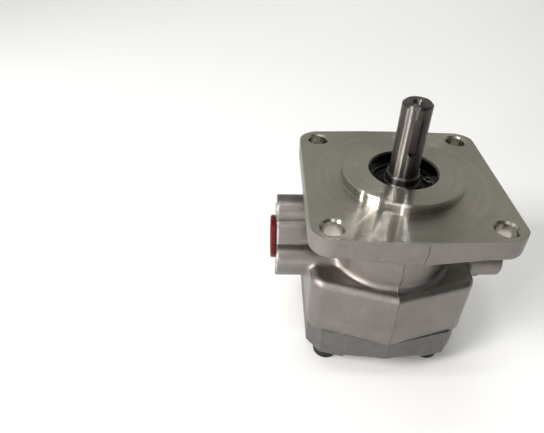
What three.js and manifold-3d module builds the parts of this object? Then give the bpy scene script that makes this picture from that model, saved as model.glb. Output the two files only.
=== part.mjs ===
// External hydraulic gear pump: a flanged aluminium body with two meshed gear shafts, bearing blocks,
// shaft seal and bolted rear cover, and a plastic plug in each port.
// Millimetres, +Z along the drive shaft towards its driven end. The origin is on the drive shaft's axis,
// in the plane of the rear cover's raised pad. The driven gear lies at +Y; the outlet faces -X.
import * as THREE from "three";
import { mergeVertices } from "three/addons/utils/BufferGeometryUtils.js";
import { ConvexGeometry } from "three/addons/geometries/ConvexGeometry.js";
import Module from "manifold-3d";

const wasm = await Module();
wasm.setup();

// ---- driving dimensions ----
const CENTRES = 25; // gear centre distance
const MID_Y = CENTRES / 2; // plane of symmetry of body, cover and ports
const Z_SEAT = 5.5; // spot faces under the cover screws
const Z_APEX = 12; // where the cover's end slopes meet its outline
const Z_JOINT = 23; // joint face between cover and body
const Z_SHELF = 55; // shoulder where the wide housing ends
const Z_FLANGE = 88; // back of the mounting flange
const Z_PARTING = 85.2; // back of the flange at the mould's parting line
const FLAT_X = 28; // the flange's back is flat beyond this
const Z_FACE = 98; // mounting face
const Z_PILOT = 103; // end of the centring spigot
const Z_TIP = 135.5; // end of the drive shaft

const FLANGE_HALF = 44.25;
const HOLE_HALF = 35; // mounting holes on a 70 mm square
const HOLE_R = 4.5;
const PILOT_R = 27.5;
const NECK_R = 28;
const SEAL_BORE_R = 15;
const CAVITY_R = 14.95;
const CAVITY_TOP = 83;

const GEAR_TEETH = 10;
const GEAR_MODULE = 2.5;
const GEAR_TIP_R = 14.8;
const GEAR_ROOT_R = 9.6;
const GEAR_PRESSURE = (28 * Math.PI) / 180;
const GEAR_BACKLASH = 0.3;
const GEAR_LOW = 43.05;
const GEAR_HIGH = 62.95;
const JOURNAL_R = 8.5;
const BUSH_R = 10;
const SHAFT_R = 6.4;
const SHOULDER_Z = 98.5;
const COLLAR_R = 7.6; // step between the seal and the shaft end
const COLLAR_Z = 102;
const KEYWAY = { width: 4, depth: 2.5, low: 113, high: 131.5, turn: (-88 * Math.PI) / 180 };

const PORT_Z = 52.5;
const PORT_FACE = 55.5;
const PORT_R = 9.5;
const PORT_CORE_R = 17;
const PORT_LOBE_D = 17.5; // port screw holes on a 35 mm circle
const PORT_LOBE_R = 7.8;

const BOLT_X = 27.5;
const BOLT_DY = 28.5;
const BOLT_R = 3.95;
const BOLT_HEAD_R = 6.5;
const BOLT_HEAD_H = 8;
const BOLT_LENGTH = 35;
const WASHER_H = 2;

// ---- looks ----
const look = (color, roughness, metalness) => new THREE.MeshStandardMaterial({ color, roughness, metalness });
const CAST = () => look(0xa8a49f, 0.55, 0.85);
const COVER = () => look(0x9a9aa0, 0.6, 0.8);
const STEEL = () => look(0x8f8c88, 0.25, 1);
const BLACK_OXIDE = () => look(0x15151a, 0.35, 0.8);
const SPRING_STEEL = () => look(0x9a9a9a, 0.3, 1);
const BEARING = () => look(0x9b7a55, 0.45, 0.9);
const RUBBER = () => look(0x141414, 0.7, 0);
const PLUG_RED = () => look(0x8e0d12, 0.4, 0);

// ---- solids from three.js geometry ----
function solid(geometry) {
  const bare = geometry.index ? geometry.toNonIndexed() : geometry.clone();
  const points = new THREE.BufferGeometry().setAttribute("position", bare.getAttribute("position"));
  const merged = mergeVertices(points, 1e-4);
  const v = merged.attributes.position.array;
  const all = Array.from(merged.index.array);
  const t = [];
  let volume = 0;
  for (let i = 0; i < all.length; i += 3) {
    const [a, b, c] = [all[i], all[i + 1], all[i + 2]];
    if (a === b || b === c || a === c) continue;
    t.push(a, b, c);
    const p = (k) => new THREE.Vector3(v[3 * k], v[3 * k + 1], v[3 * k + 2]);
    volume += p(a).dot(p(b).cross(p(c)));
  }
  if (volume < 0) for (let i = 0; i < t.length; i += 3) [t[i + 1], t[i + 2]] = [t[i + 2], t[i + 1]];
  return new wasm.Manifold(new wasm.Mesh({ numProp: 3, vertProperties: v, triVerts: new Uint32Array(t) }));
}

const join = (first, ...rest) => rest.reduce((a, b) => a.add(b), first);
const cut = (first, ...rest) => rest.reduce((a, b) => a.subtract(b), first);

// Convex outline round a set of circles [x, y, r].
function hull(circles, segments = 36) {
  const pts = [];
  for (const [x, y, r] of circles)
    for (let i = 0; i < segments; i++) {
      const a = (2 * Math.PI * i) / segments;
      pts.push([x + r * Math.cos(a), y + r * Math.sin(a)]);
    }
  pts.sort((p, q) => p[0] - q[0] || p[1] - q[1]);
  const turn = (o, a, b) => (a[0] - o[0]) * (b[1] - o[1]) - (a[1] - o[1]) * (b[0] - o[0]);
  const chain = (list) => {
    const out = [];
    for (const p of list) {
      while (out.length > 1 && turn(out[out.length - 2], out[out.length - 1], p) <= 1e-9) out.pop();
      out.push(p);
    }
    return out.slice(0, -1);
  };
  const ring = [...chain(pts), ...chain([...pts].reverse())];
  return new THREE.Shape(ring.map(([x, y]) => new THREE.Vector2(x, y)));
}

// Prism on an outline from z0 to z1, both end edges rounded by `round`.
function prism(shape, z0, z1, round = 0, steps = 2) {
  const g = new THREE.ExtrudeGeometry(shape, {
    depth: z1 - z0 - 2 * round,
    bevelEnabled: round > 0,
    bevelThickness: round,
    bevelSize: round,
    bevelOffset: -round,
    bevelSegments: steps,
    curveSegments: 24,
  });
  return solid(g.translate(0, 0, z0 + round));
}

// Convex solid that wraps a stack of [outline, z] sections.
const wrapped = (...sections) => solid(new ConvexGeometry(
  sections.flatMap(([shape, z]) => shape.getPoints().map((p) => new THREE.Vector3(p.x, p.y, z)))));

// Solid of revolution about an axis parallel to Z through (x, y), from [r, z] points.
function turned(profile, x = 0, y = 0, segments = 36) {
  const pts = profile.map(([r, z]) => new THREE.Vector2(r, z));
  return solid(new THREE.LatheGeometry(pts, segments).rotateX(Math.PI / 2).translate(x, y, 0));
}
const rod = (r, z0, z1, x = 0, y = 0, segments = 36) =>
  turned([[0, z0], [r, z0], [r, z1], [0, z1]], x, y, segments);
const block = (x0, x1, y0, y1, z0, z1) =>
  solid(new THREE.BoxGeometry(x1 - x0, y1 - y0, z1 - z0)
    .translate((x0 + x1) / 2, (y0 + y1) / 2, (z0 + z1) / 2));

// Turns a solid built along Z so that its Z runs along X and its outline lies in YZ.
const ALONG_X = new THREE.Matrix4().makeBasis(
  new THREE.Vector3(0, 1, 0), new THREE.Vector3(0, 0, 1), new THREE.Vector3(1, 0, 0));
const alongX = (s) => s.transform(ALONG_X.elements);
const rodX = (r, x0, x1, y, z, segments = 28) => alongX(rod(r, x0, x1, y, z, segments));

const group = new THREE.Group();
function add(name, made, material) {
  const m = made.getMesh();
  const xyz = new Float32Array(m.numVert * 3);
  for (let i = 0; i < m.numVert; i++) xyz.set(m.vertProperties.subarray(i * m.numProp, i * m.numProp + 3), i * 3);
  const g = new THREE.BufferGeometry().setAttribute("position", new THREE.BufferAttribute(xyz, 3));
  g.setIndex(new THREE.BufferAttribute(m.triVerts, 1));
  g.computeVertexNormals();
  const mesh = new THREE.Mesh(g, material);
  mesh.name = name;
  group.add(mesh);
  return mesh;
}

const bolts = [];
for (const dy of [-BOLT_DY, BOLT_DY]) for (const x of [-BOLT_X, BOLT_X]) bolts.push([x, MID_Y + dy]);
const dowels = [[-25, MID_Y], [25, MID_Y]];
// Two circles of one radius on the two gear axes.
const pair = (r, z0, z1, segments = 48) =>
  join(rod(r, z0, z1, 0, 0, segments), rod(r, z0, z1, 0, CENTRES, segments));
const mirrorY = (list) => [...list, ...list.map(([x, y, r]) => [x, CENTRES - y, r])];
const mirrorX = (list) => [...list, ...list.map(([x, y, r]) => [-x, y, r])];

// ---- body: flange, spigot, neck, gear housing and two port bosses in one casting ----
const square = hull(mirrorX([[35, 35, 9.25], [35, -35, 9.25]]), 20);
const flange = prism(square, Z_FLANGE, Z_FACE, 0.8, 1);
const pilot = turned([[0, 97], [PILOT_R, 97], [PILOT_R, Z_PILOT - 0.8], [PILOT_R - 0.8, Z_PILOT], [0, Z_PILOT]],
  0, 0, 64);
const neck = prism(hull([[0, 0, NECK_R], [0, CENTRES, 19.5]]), 48, 90);
const flangeWedge = alongX(prism(new THREE.Shape([[-FLAT_X, Z_FLANGE], [0, Z_PARTING], [FLAT_X, Z_FLANGE],
  [FLAT_X, Z_FLANGE + 2], [-FLAT_X, Z_FLANGE + 2]].map(([v, z]) => new THREE.Vector2(v, z))), -50, 50))
  .rotate([0, 0, 90]).intersect(prism(square, Z_PARTING - 1, Z_FLANGE + 1));
const neckFoot = turned([[0, 46], [30.8, 46], [30.4, 55.2], [29, 56.3], [NECK_R + 0.2, 58], [NECK_R, 60], [0, 60]]);
const neckRoot = turned([[0, 81], [NECK_R, 81], [NECK_R + 0.8, 84], [NECK_R + 2.4, 87], [NECK_R + 2.4, 88.5],
  [0, 88.5]]);
const housingOutline = hull(mirrorY(mirrorX([[0, -29.5, 5], [31.3, -18.4, 8]])), 16);
const housing = cut(prism(housingOutline, 10, Z_SHELF, 3.2), block(-60, 60, -60, 90, 0, Z_JOINT));
const lobes = [];
for (const [dy, dz] of [[1, 0], [-1, 0], [0, 1], [0, -1]])
  lobes.push([MID_Y + dy * PORT_LOBE_D, PORT_Z + dz * PORT_LOBE_D]);
const bossRod = (y, z, r, segments) => alongX(prism(hull([[y, z, r]], segments), -PORT_FACE, PORT_FACE, 1, 1));
const bosses = join(bossRod(MID_Y, PORT_Z, PORT_CORE_R, 40),
  ...lobes.map(([y, z]) => bossRod(y, z, PORT_LOBE_R, 20)));

const mountHoles = [];
for (const sx of [-1, 1])
  for (const sy of [-1, 1])
    mountHoles.push(turned([[0, 80], [HOLE_R, 80], [HOLE_R, Z_FACE - 0.7], [HOLE_R + 1.1, Z_FACE + 0.4],
      [0, Z_FACE + 0.4]], sx * HOLE_HALF, sy * HOLE_HALF, 20));
const sealBore = turned([[0, 88], [SEAL_BORE_R, 88], [SEAL_BORE_R, 96], [15.8, 96], [15.8, 97.4],
  [SEAL_BORE_R, 97.4], [SEAL_BORE_R, Z_PILOT - 0.6], [SEAL_BORE_R + 0.9, Z_PILOT + 0.3], [0, Z_PILOT + 0.3]]);
const shaftPassage = rod(9.3, 80, 90);
const portBore = (side) => join(
  rodX(PORT_R, side < 0 ? -PORT_FACE - 1 : 36, side < 0 ? -36 : PORT_FACE + 1, MID_Y, PORT_Z),
  rodX(7, side < 0 ? -37 : 0, side < 0 ? 0 : 37, MID_Y, PORT_Z, 16));
const portThreads = [-1, 1].flatMap((side) => lobes.map(([y, z]) =>
  rodX(2.5, side < 0 ? -PORT_FACE - 1 : PORT_FACE - 12, side < 0 ? -PORT_FACE + 12 : PORT_FACE + 1, y, z, 8)));
const stadium = (r, z0, z1) => prism(hull([[0, 0, r], [0, CENTRES, r]], 24), z0, z1);
const coverSealGroove = cut(stadium(19.2, Z_JOINT - 1, Z_JOINT + 1.6), stadium(16.8, Z_JOINT - 2, Z_JOINT + 3));
add("body", cut(
  join(flange, flangeWedge, pilot, neck, neckFoot, neckRoot, housing, bosses),
  pair(CAVITY_R, Z_JOINT - 1, CAVITY_TOP, 48), sealBore, shaftPassage, portBore(-1), portBore(1),
  ...mountHoles, ...portThreads, coverSealGroove,
  ...bolts.map(([x, y]) => rod(4.2, Z_JOINT - 1, 42, x, y, 12)),
  ...dowels.map(([x, y]) => rod(3.2, Z_JOINT - 1, 31, x, y, 12))), CAST());

// ---- rear cover: chamfered plate, four screw seats, two end slopes and the raised pad ----
const coverOutline = (inset) => hull(mirrorY(mirrorX([
  [0, -33 + 1.03 * inset, 1.3], [31.6 - 0.7 * inset, -25.2 + inset, 1],
  [37.8 - inset, -17.4 + 0.5 * inset, 1]])), 24);
const coverTop = Z_JOINT - 0.02;
const plate = wrapped([coverOutline(2.2), Z_SEAT], [coverOutline(0.7), Z_SEAT + 0.7], [coverOutline(0), Z_SEAT + 2.4],
  [coverOutline(0), coverTop]);
const slopeHalf = 20;
function endSlope(end) {
  const y = (v) => (end < 0 ? v : CENTRES - v);
  const side = new THREE.Shape([[-19, 0], [-34.6, Z_APEX], [-34.6, 20], [0, 20], [0, 0]]
    .map(([v, z]) => new THREE.Vector2(y(v), z)));
  return alongX(prism(side, -slopeHalf, slopeHalf));
}
const lowEnds = cut(join(
  block(-slopeHalf, slopeHalf, -40, -19, Z_SEAT - 1, Z_APEX),
  block(-slopeHalf, slopeHalf, CENTRES + 19, CENTRES + 40, Z_SEAT - 1, Z_APEX)), endSlope(-1), endSlope(1));
const slopes = join(endSlope(-1), endSlope(1)).intersect(prism(coverOutline(0), -5, 30));
const wing = hull([[34, 12.5 - 14.6, 4], [-34, 12.5 - 14.6, 4], [34, 12.5 + 14.6, 4], [-34, 12.5 + 14.6, 4]], 8);
const padPlate = join(
  prism(wing, 0, 10, 0.8, 1),
  turned([[0, 0], [20.6, 0], [21.4, 0.8], [21.4, 10], [0, 10]]),
  turned([[0, 0], [20.6, 0], [21.4, 0.8], [21.4, 10], [0, 10]], 0, CENTRES),
  block(-22, 22, -12, CENTRES + 12, 0, 10));
const seatClearance = bolts.map(([x, y]) => turned([[0, -1], [10, -1], [10, Z_SEAT], [0, Z_SEAT]], x, y, 32));
const boltHoles = bolts.map(([x, y]) => rod(4.5, -2, 30, x, y, 16));
add("rear_cover", cut(
  join(cut(plate, lowEnds), slopes, padPlate),
  ...seatClearance, ...boltHoles, ...dowels.map(([x, y]) => rod(3.2, 15, 30, x, y, 12))), COVER());

// ---- socket head cap screws and their split lock washers ----
const socket = new THREE.Shape(Array.from({ length: 6 }, (_, i) => {
  const a = (Math.PI / 3) * (i + 0.5);
  return new THREE.Vector2((3 / Math.cos(Math.PI / 6)) * Math.cos(a), (3 / Math.cos(Math.PI / 6)) * Math.sin(a));
}));
const headBottom = Z_SEAT - WASHER_H;
const headTop = headBottom - BOLT_HEAD_H;
const screw = cut(
  turned([[0, headTop], [BOLT_HEAD_R - 0.8, headTop], [BOLT_HEAD_R, headTop + 0.8], [BOLT_HEAD_R, headBottom],
    [BOLT_R, headBottom], [BOLT_R, headBottom + BOLT_LENGTH - 1], [BOLT_R - 1, headBottom + BOLT_LENGTH],
    [0, headBottom + BOLT_LENGTH]], 0, 0, 24),
  prism(socket, headTop - 1, headTop + 4.2));
const washer = cut(
  turned([[4.15, headBottom], [7.4, headBottom], [7.4, Z_SEAT], [4.15, Z_SEAT], [4.15, headBottom]], 0, 0, 24),
  solid(new THREE.BoxGeometry(8, 0.9, 6).rotateX(0.5).translate(6, 0, Z_SEAT - 1)));
bolts.forEach(([x, y], i) => {
  add(`cover_screw_${i + 1}`, screw, BLACK_OXIDE()).position.set(x, y, 0);
  const ring = add(`lock_washer_${i + 1}`, washer, BLACK_OXIDE());
  ring.position.set(x, y, 0);
  ring.rotation.z = [2.2, 0.7, 4.4, 5.3][i];
});
dowels.forEach(([x, y], i) => add(`dowel_pin_${i + 1}`,
  turned([[0, 15.4], [2.5, 15.4], [3, 15.9], [3, 30.1], [2.5, 30.6], [0, 30.6]], x, y, 12), STEEL()));

// ---- gear shafts ----
// One involute spur gear outline; `phase` turns a tooth's centre away from +X.
function gearShape(phase) {
  const pitchR = (GEAR_TEETH * GEAR_MODULE) / 2;
  const baseR = pitchR * Math.cos(GEAR_PRESSURE);
  const inv = (a) => Math.tan(a) - a;
  const halfAtPitch = Math.PI / 2 / GEAR_TEETH - GEAR_BACKLASH / 2 / pitchR;
  const halfAngle = (r) => halfAtPitch + inv(GEAR_PRESSURE) - inv(Math.acos(Math.min(1, baseR / r)));
  const radii = [GEAR_ROOT_R, baseR, baseR + 0.4, baseR + 1.1, baseR + 1.9, baseR + 2.8, GEAR_TIP_R];
  const pts = [];
  for (let i = 0; i < GEAR_TEETH; i++) {
    const a = phase + (2 * Math.PI * i) / GEAR_TEETH;
    const at = (r, h) => new THREE.Vector2(r * Math.cos(a + h), r * Math.sin(a + h));
    for (const r of radii) pts.push(at(r, -halfAngle(Math.max(r, baseR))));
    for (const r of [...radii].reverse()) pts.push(at(r, halfAngle(Math.max(r, baseR))));
  }
  return new THREE.Shape(pts);
}
const shaftCore = (top) => [[0, 23.6], [JOURNAL_R - 0.6, 23.6], [JOURNAL_R, 24.2], ...top];
const driveCore = turned(shaftCore([[JOURNAL_R, SHOULDER_Z - 0.5], [JOURNAL_R - 0.5, SHOULDER_Z],
  [COLLAR_R, SHOULDER_Z], [COLLAR_R, COLLAR_Z - 0.4], [COLLAR_R - 0.4, COLLAR_Z], [SHAFT_R, COLLAR_Z],
  [SHAFT_R, Z_TIP - 1], [SHAFT_R - 1, Z_TIP], [2.1, Z_TIP], [1.2, Z_TIP - 1.6], [1.2, Z_TIP - 4],
  [0, Z_TIP - 4.6]]));
const keyway = (() => {
  const half = KEYWAY.width / 2;
  const slot = hull([[0, KEYWAY.low + half, half], [0, KEYWAY.high - half, half]], 24);
  return alongX(prism(slot, SHAFT_R - KEYWAY.depth, SHAFT_R + 3))
    .rotate([0, 0, (KEYWAY.turn * 180) / Math.PI]);
})();
add("drive_gear_shaft",
  cut(join(driveCore, prism(gearShape(Math.PI / 2), GEAR_LOW, GEAR_HIGH)), keyway), STEEL());
const drivenCore = turned(shaftCore([[JOURNAL_R, 81.8], [JOURNAL_R - 0.6, 82.4], [0, 82.4]]));
add("driven_gear_shaft",
  join(drivenCore, prism(gearShape(-Math.PI / 2 + Math.PI / GEAR_TEETH), GEAR_LOW, GEAR_HIGH)), STEEL())
  .position.set(0, CENTRES, 0);

// ---- bearing blocks, bushes and the seals behind the blocks ----
const openSide = block(3, 40, -40, 70, 0, 100);
const threeSeal = (grow, z0, z1) => cut(
  pair(13 + grow, z0, z1, 24), pair(11.4 - grow, z0 - 1, z1 + 1, 24), openSide.translate([grow, 0, 0]));
const blocks = [
  ["rear", 23.05, 42.95, 22, 25.3, 23.1, 25.1],
  ["front", 63.05, 82.95, 80.7, 84, 80.9, 82.9],
];
for (const [where, z0, z1, g0, g1, s0, s1] of blocks) {
  add(`${where}_bearing_block`, cut(pair(14.85, z0, z1), pair(BUSH_R + 0.08, z0 - 1, z1 + 1, 36),
    threeSeal(0.2, g0, g1)), look(0xb5b3ae, 0.4, 0.9));
  add(`${where}_block_seal`, threeSeal(0, s0, s1), RUBBER());
  for (const [axis, y] of [["drive", 0], ["driven", CENTRES]])
    add(`${where}_bush_${axis}`, turned([[JOURNAL_R + 0.05, z0 + 2.6], [BUSH_R, z0 + 2.6], [BUSH_R, z1 - 2.6],
      [JOURNAL_R + 0.05, z1 - 2.6], [JOURNAL_R + 0.05, z0 + 2.6]], 0, y, 36), BEARING());
}
add("cover_seal", cut(stadium(19, Z_JOINT + 0.05, Z_JOINT + 1.5), stadium(17, Z_JOINT - 2, Z_JOINT + 3)), RUBBER());

// ---- drive shaft seal, its garter spring and the retaining ring ----
add("shaft_seal", turned([[14.9, 88.1], [14.9, 94.5], [14.4, 95], [9.4, 95], [8.6, 94.3], [9.2, 93],
  [8.6, 90.3], [9.2, 89.2], [10, 89.6], [9.7, 90.3], [10.4, 92.6], [13.4, 92.6], [13.4, 88.1],
  [14.9, 88.1]], 0, 0, 32), RUBBER());
add("seal_garter_spring",
  solid(new THREE.TorusGeometry(10.45, 0.45, 6, 24).translate(0, 0, 90.3)), SPRING_STEEL());
const ringGap = 0.42; // half the retaining ring's open angle, in radians
const RING_TURN = 0.62;
const ringSector = new THREE.Shape([new THREE.Vector2(0, 0),
  ...[-1, -0.5, 0, 0.5, 1].map((k) => new THREE.Vector2(24 * Math.cos(k * ringGap), 24 * Math.sin(k * ringGap)))]);
const lug = (side) => cut(
  rod(2.6, 96.1, 97.3, 12.9 * Math.cos(side * 0.52), 12.9 * Math.sin(side * 0.52), 24),
  rod(0.9, 95, 98, 12.6 * Math.cos(side * 0.52), 12.6 * Math.sin(side * 0.52), 16));
const plainRing = cut(
  turned([[13.5, 96.1], [15.7, 96.1], [15.7, 97.3], [13.5, 97.3], [13.5, 96.1]]),
  prism(ringSector, 94, 99));
add("seal_retaining_ring", cut(join(plainRing, lug(1), lug(-1)), cut(rod(24, 95, 98), rod(15.7, 94, 99))),
  SPRING_STEEL()).rotation.z = RING_TURN;

// ---- push-in plugs that close the ports ----
const plug = turned([[0, 4.5], [7.4, 4.5], [7.4, -1], [8.4, -2], [10.6, -2], [11.2, -1.2], [11.2, 0.6], [9.3, 0.6],
  [8.9, 11], [8.2, 12], [7.2, 12], [7.2, 6], [0, 6]], 0, 0, 28);
const plugHeight = 0.9;
add("outlet_port_plug", plug, PLUG_RED());
add("inlet_port_plug", plug, PLUG_RED());
for (const [name, side] of [["outlet_port_plug", -1], ["inlet_port_plug", 1]]) {
  const mesh = group.getObjectByName(name);
  mesh.rotation.y = side < 0 ? Math.PI / 2 : -Math.PI / 2;
  mesh.position.set(side * (PORT_FACE + plugHeight), MID_Y, PORT_Z);
}

export default group;
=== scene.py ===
"""Hydraulic gear pump: the looks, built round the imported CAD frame.

Lengths in the builders are millimetres in the CAD frame: +Z along the drive shaft, the raised pad of the
rear cover at z = 0, the driven gear at +Y, the outlet at -X. Meshes are scaled to metres as they are made.
"""

import math

import bpy
import numpy as np
from mathutils import Matrix, Vector


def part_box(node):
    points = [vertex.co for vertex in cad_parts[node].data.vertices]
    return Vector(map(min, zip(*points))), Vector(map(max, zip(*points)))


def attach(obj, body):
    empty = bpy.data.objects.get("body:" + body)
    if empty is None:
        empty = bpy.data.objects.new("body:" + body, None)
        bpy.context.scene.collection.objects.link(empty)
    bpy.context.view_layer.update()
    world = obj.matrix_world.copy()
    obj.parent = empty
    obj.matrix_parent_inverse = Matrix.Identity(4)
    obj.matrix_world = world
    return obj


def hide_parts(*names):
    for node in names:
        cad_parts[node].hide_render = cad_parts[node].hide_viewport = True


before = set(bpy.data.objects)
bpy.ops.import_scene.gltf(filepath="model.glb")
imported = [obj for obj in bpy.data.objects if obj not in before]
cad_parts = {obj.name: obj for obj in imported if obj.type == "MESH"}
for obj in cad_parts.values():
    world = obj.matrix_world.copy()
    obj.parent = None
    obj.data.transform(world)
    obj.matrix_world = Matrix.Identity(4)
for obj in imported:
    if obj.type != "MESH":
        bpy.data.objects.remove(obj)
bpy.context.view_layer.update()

MM = 0.001


def box_mm(node):
    """Lowest and highest corner of a CAD node, in millimetres."""
    low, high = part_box(node)
    return low / MM, high / MM


# ---- positions read from the frame ----
BODY_LOW, BODY_HIGH = box_mm("body")
COVER_LOW, COVER_HIGH = box_mm("rear_cover")
SHAFT_LOW, SHAFT_HIGH = box_mm("drive_gear_shaft")
DRIVEN_LOW, DRIVEN_HIGH = box_mm("driven_gear_shaft")
CENTRES = round((DRIVEN_LOW.y + DRIVEN_HIGH.y) / 2, 2)
MID_Y = CENTRES / 2
Z_JOINT = BODY_LOW.z
Z_PILOT = BODY_HIGH.z
Z_TIP = SHAFT_HIGH.z
PORT_FACE = BODY_HIGH.x
FLANGE_HALF = -BODY_LOW.y
BOLTS = []
for n in range(1, 5):
    low, high = box_mm(f"cover_screw_{n}")
    BOLTS.append(((low.x + high.x) / 2, (low.y + high.y) / 2))
HEAD_TOP = box_mm("cover_screw_1")[0].z
WASHER_LOW, WASHER_HIGH = (corner.z for corner in box_mm("lock_washer_1"))
DOWELS = [((a.x + b.x) / 2, (a.y + b.y) / 2) for a, b in (box_mm("dowel_pin_1"), box_mm("dowel_pin_2"))]

# ---- dimensions of the castings and the machining ----
Z_FACE = 98.0  # mounting face
Z_FLANGE = 88.0  # back of the flange
Z_PARTING = 85.2  # back of the flange at the parting line
FLAT_X = 28.0  # the flange's back is flat beyond this
Z_SHELF = 55.0  # shoulder where the wide housing ends
Z_SEAT = 5.5  # cover under the screw washers
SLOPE_TOP = 12.0  # height where the cover's end slopes meet its outline
SLOPE_Y = 19.0  # distance from the drive axis at which a slope starts
SLOPE_RUN = 15.6
SLOPE_HALF = 20.0
SLOPE_FLOOR = 0.35  # the slopes end this high above the cover's pad
PORT_Z = 52.5
PORT_CORE_R = 17.0
PORT_LOBE_R = 7.8
PORT_LOBE_D = 17.5  # distance of the lobes and their screw holes from the port's axis
PILOT_R = 27.5
NECK_R = 28.0  # neck round the drive axis
NECK_TAIL_R = 19.5  # neck round the driven axis
SEAL_BORE_R = 15.0
SEAL_SEAT = 88.0
RING_GROOVE_R = 15.8
RING_GROOVE = (96.0, 97.4)
CAVITY_R = 14.95
CAVITY_TOP = 83.0
FLANGE_STRAIGHT = 35.0  # half the flange's side between its round corners
FLANGE_CORNER_R = 9.25
HOLE_HALF = 35.0  # half the square of the mounting holes
HOLE_R = 4.5
SCREW_HOLE_R = 4.5
DOWEL_R = 3.2
TAP_R = 4.2
PORT_TAP_R = 2.5
STOCK = 9.0  # how far the cutters reach past the castings
CAST_GRID = 0.75  # grid of the body's distance field
COVER_GRID = 0.55
RING_GRID = 0.2
SHARP_DEG = 38  # edges sharper than this stay crisp on the machined castings


# =====================================================================================
# Meshes
# =====================================================================================
def make_object(name, verts, faces, material=None, sharp_deg=30.0):
    """Mesh object from millimetre vertices, smooth except along edges sharper than sharp_deg."""
    mesh = bpy.data.meshes.new(name)
    mesh.from_pydata((np.asarray(verts, float) * MM).tolist(), [], [list(f) for f in faces])
    mesh.update()
    obj = bpy.data.objects.new(name, mesh)
    bpy.context.scene.collection.objects.link(obj)
    if material:
        mesh.materials.append(material)
    shade(obj, sharp_deg)
    return obj


def shade(obj, sharp_deg):
    obj.data.polygons.foreach_set("use_smooth", [True] * len(obj.data.polygons))
    obj.data.set_sharp_from_angle(angle=math.radians(sharp_deg))


def settle(obj):
    """Replaces an object's mesh by the result of its modifiers."""
    graph = bpy.context.evaluated_depsgraph_get()
    made = bpy.data.meshes.new_from_object(obj.evaluated_get(graph), preserve_all_data_layers=True,
                                           depsgraph=graph)
    old = obj.data
    obj.modifiers.clear()
    obj.data = made
    bpy.data.meshes.remove(old)


def boolean(obj, cutter, operation="DIFFERENCE"):
    """Cuts obj with cutter, or joins the two; the cutter's faces bring their material with them."""
    for material in cutter.data.materials:
        if material and material.name not in obj.data.materials:
            obj.data.materials.append(material)
    m = obj.modifiers.new("machining", "BOOLEAN")
    m.operation = operation
    m.object = cutter
    m.solver = "MANIFOLD"
    settle(obj)
    bpy.data.objects.remove(cutter)


def merged(parts):
    """One mesh from several that don't touch each other."""
    verts, faces, at = [], [], 0
    for part_verts, part_faces in parts:
        verts.append(np.asarray(part_verts, float))
        faces += [[i + at for i in f] for f in part_faces]
        at += len(part_verts)
    return np.concatenate(verts), faces


def rounded_profile(points, steps=5):
    """[r, z] or [r, z, radius] points of an outline, with arcs at the corners that have a radius."""
    out = []
    n = len(points)
    for i, p in enumerate(points):
        if len(p) < 3 or not p[2]:
            out.append((p[0], p[1]))
            continue
        here = np.array(p[:2], float)
        before = np.array(points[i - 1][:2], float) - here
        after = np.array(points[(i + 1) % n][:2], float) - here
        lb, la = np.linalg.norm(before), np.linalg.norm(after)
        before, after = before / lb, after / la
        half = math.acos(float(np.clip(before @ after, -1, 1))) / 2
        reach = min(p[2] / math.tan(half), 0.49 * lb, 0.49 * la)
        for k in range(steps + 1):
            t = k / steps
            a, b = here + before * reach, here + after * reach
            q = (1 - t) ** 2 * a + 2 * t * (1 - t) * here + t**2 * b
            out.append((float(q[0]), float(q[1])))
    return out


def lathe(profile, x=0.0, y=0.0, segments=96, wobble=None):
    """Vertices and faces of a closed solid of revolution about an axis parallel to Z.

    The profile runs from one end of the axis to the other, or closes on itself when it stays off the axis.
    """
    closed = profile[0][0] > 1e-6
    verts, rings = [], []
    for r, z in profile:
        if r <= 1e-6:
            rings.append([len(verts)] * segments)
            verts.append((x, y, z))
            continue
        ring = []
        for k in range(segments):
            a = 2 * math.pi * k / segments
            rr = r if wobble is None else wobble(r, z, k)
            ring.append(len(verts))
            verts.append((x + rr * math.cos(a), y + rr * math.sin(a), z))
        rings.append(ring)
    faces = []
    for i in range(len(rings) if closed else len(rings) - 1):
        a, b = rings[i], rings[(i + 1) % len(rings)]
        for k in range(segments):
            j = (k + 1) % segments
            f = []
            for v in (a[k], a[j], b[j], b[k]):
                if v not in f:
                    f.append(v)
            if len(f) > 2:
                faces.append(f)
    return outward(verts, faces)


def outward(verts, faces):
    """Turns every face round when the closed mesh has its faces pointing inwards."""
    v = np.asarray(verts, float)
    volume = 0.0
    for f in faces:
        for k in range(1, len(f) - 1):
            volume += v[f[0]] @ np.cross(v[f[k]], v[f[k + 1]])
    return v, [list(reversed(f)) for f in faces] if volume < 0 else faces


def loft(rings, cap=True):
    """Vertices and faces of a solid through rings of equal numbers of [x, y, z] points."""
    n = len(rings[0])
    verts = [p for ring in rings for p in ring]
    faces = []
    count = len(rings)
    for i in range(count - 1 if cap else count):
        j = (i + 1) % count
        for k in range(n):
            m = (k + 1) % n
            faces.append([i * n + k, i * n + m, j * n + m, j * n + k])
    if cap:
        faces.append(list(reversed(range(n))))
        faces.append([(count - 1) * n + k for k in range(n)])
    return outward(verts, faces)


def block(x0, x1, y0, y1, z0, z1):
    return loft([[(x0, y0, z), (x1, y0, z), (x1, y1, z), (x0, y1, z)] for z in (z0, z1)])


def rounded_square(half, radius, z, steps=10):
    """Ring of points round a square with round corners, centred on the drive axis."""
    ring = []
    for quarter, (sx, sy) in enumerate(((1, 1), (-1, 1), (-1, -1), (1, -1))):
        for k in range(steps + 1):
            a = math.pi / 2 * (quarter + k / steps)
            ring.append((sx * (half - radius) + radius * math.cos(a),
                         sy * (half - radius) + radius * math.sin(a), z))
    return ring


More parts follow.
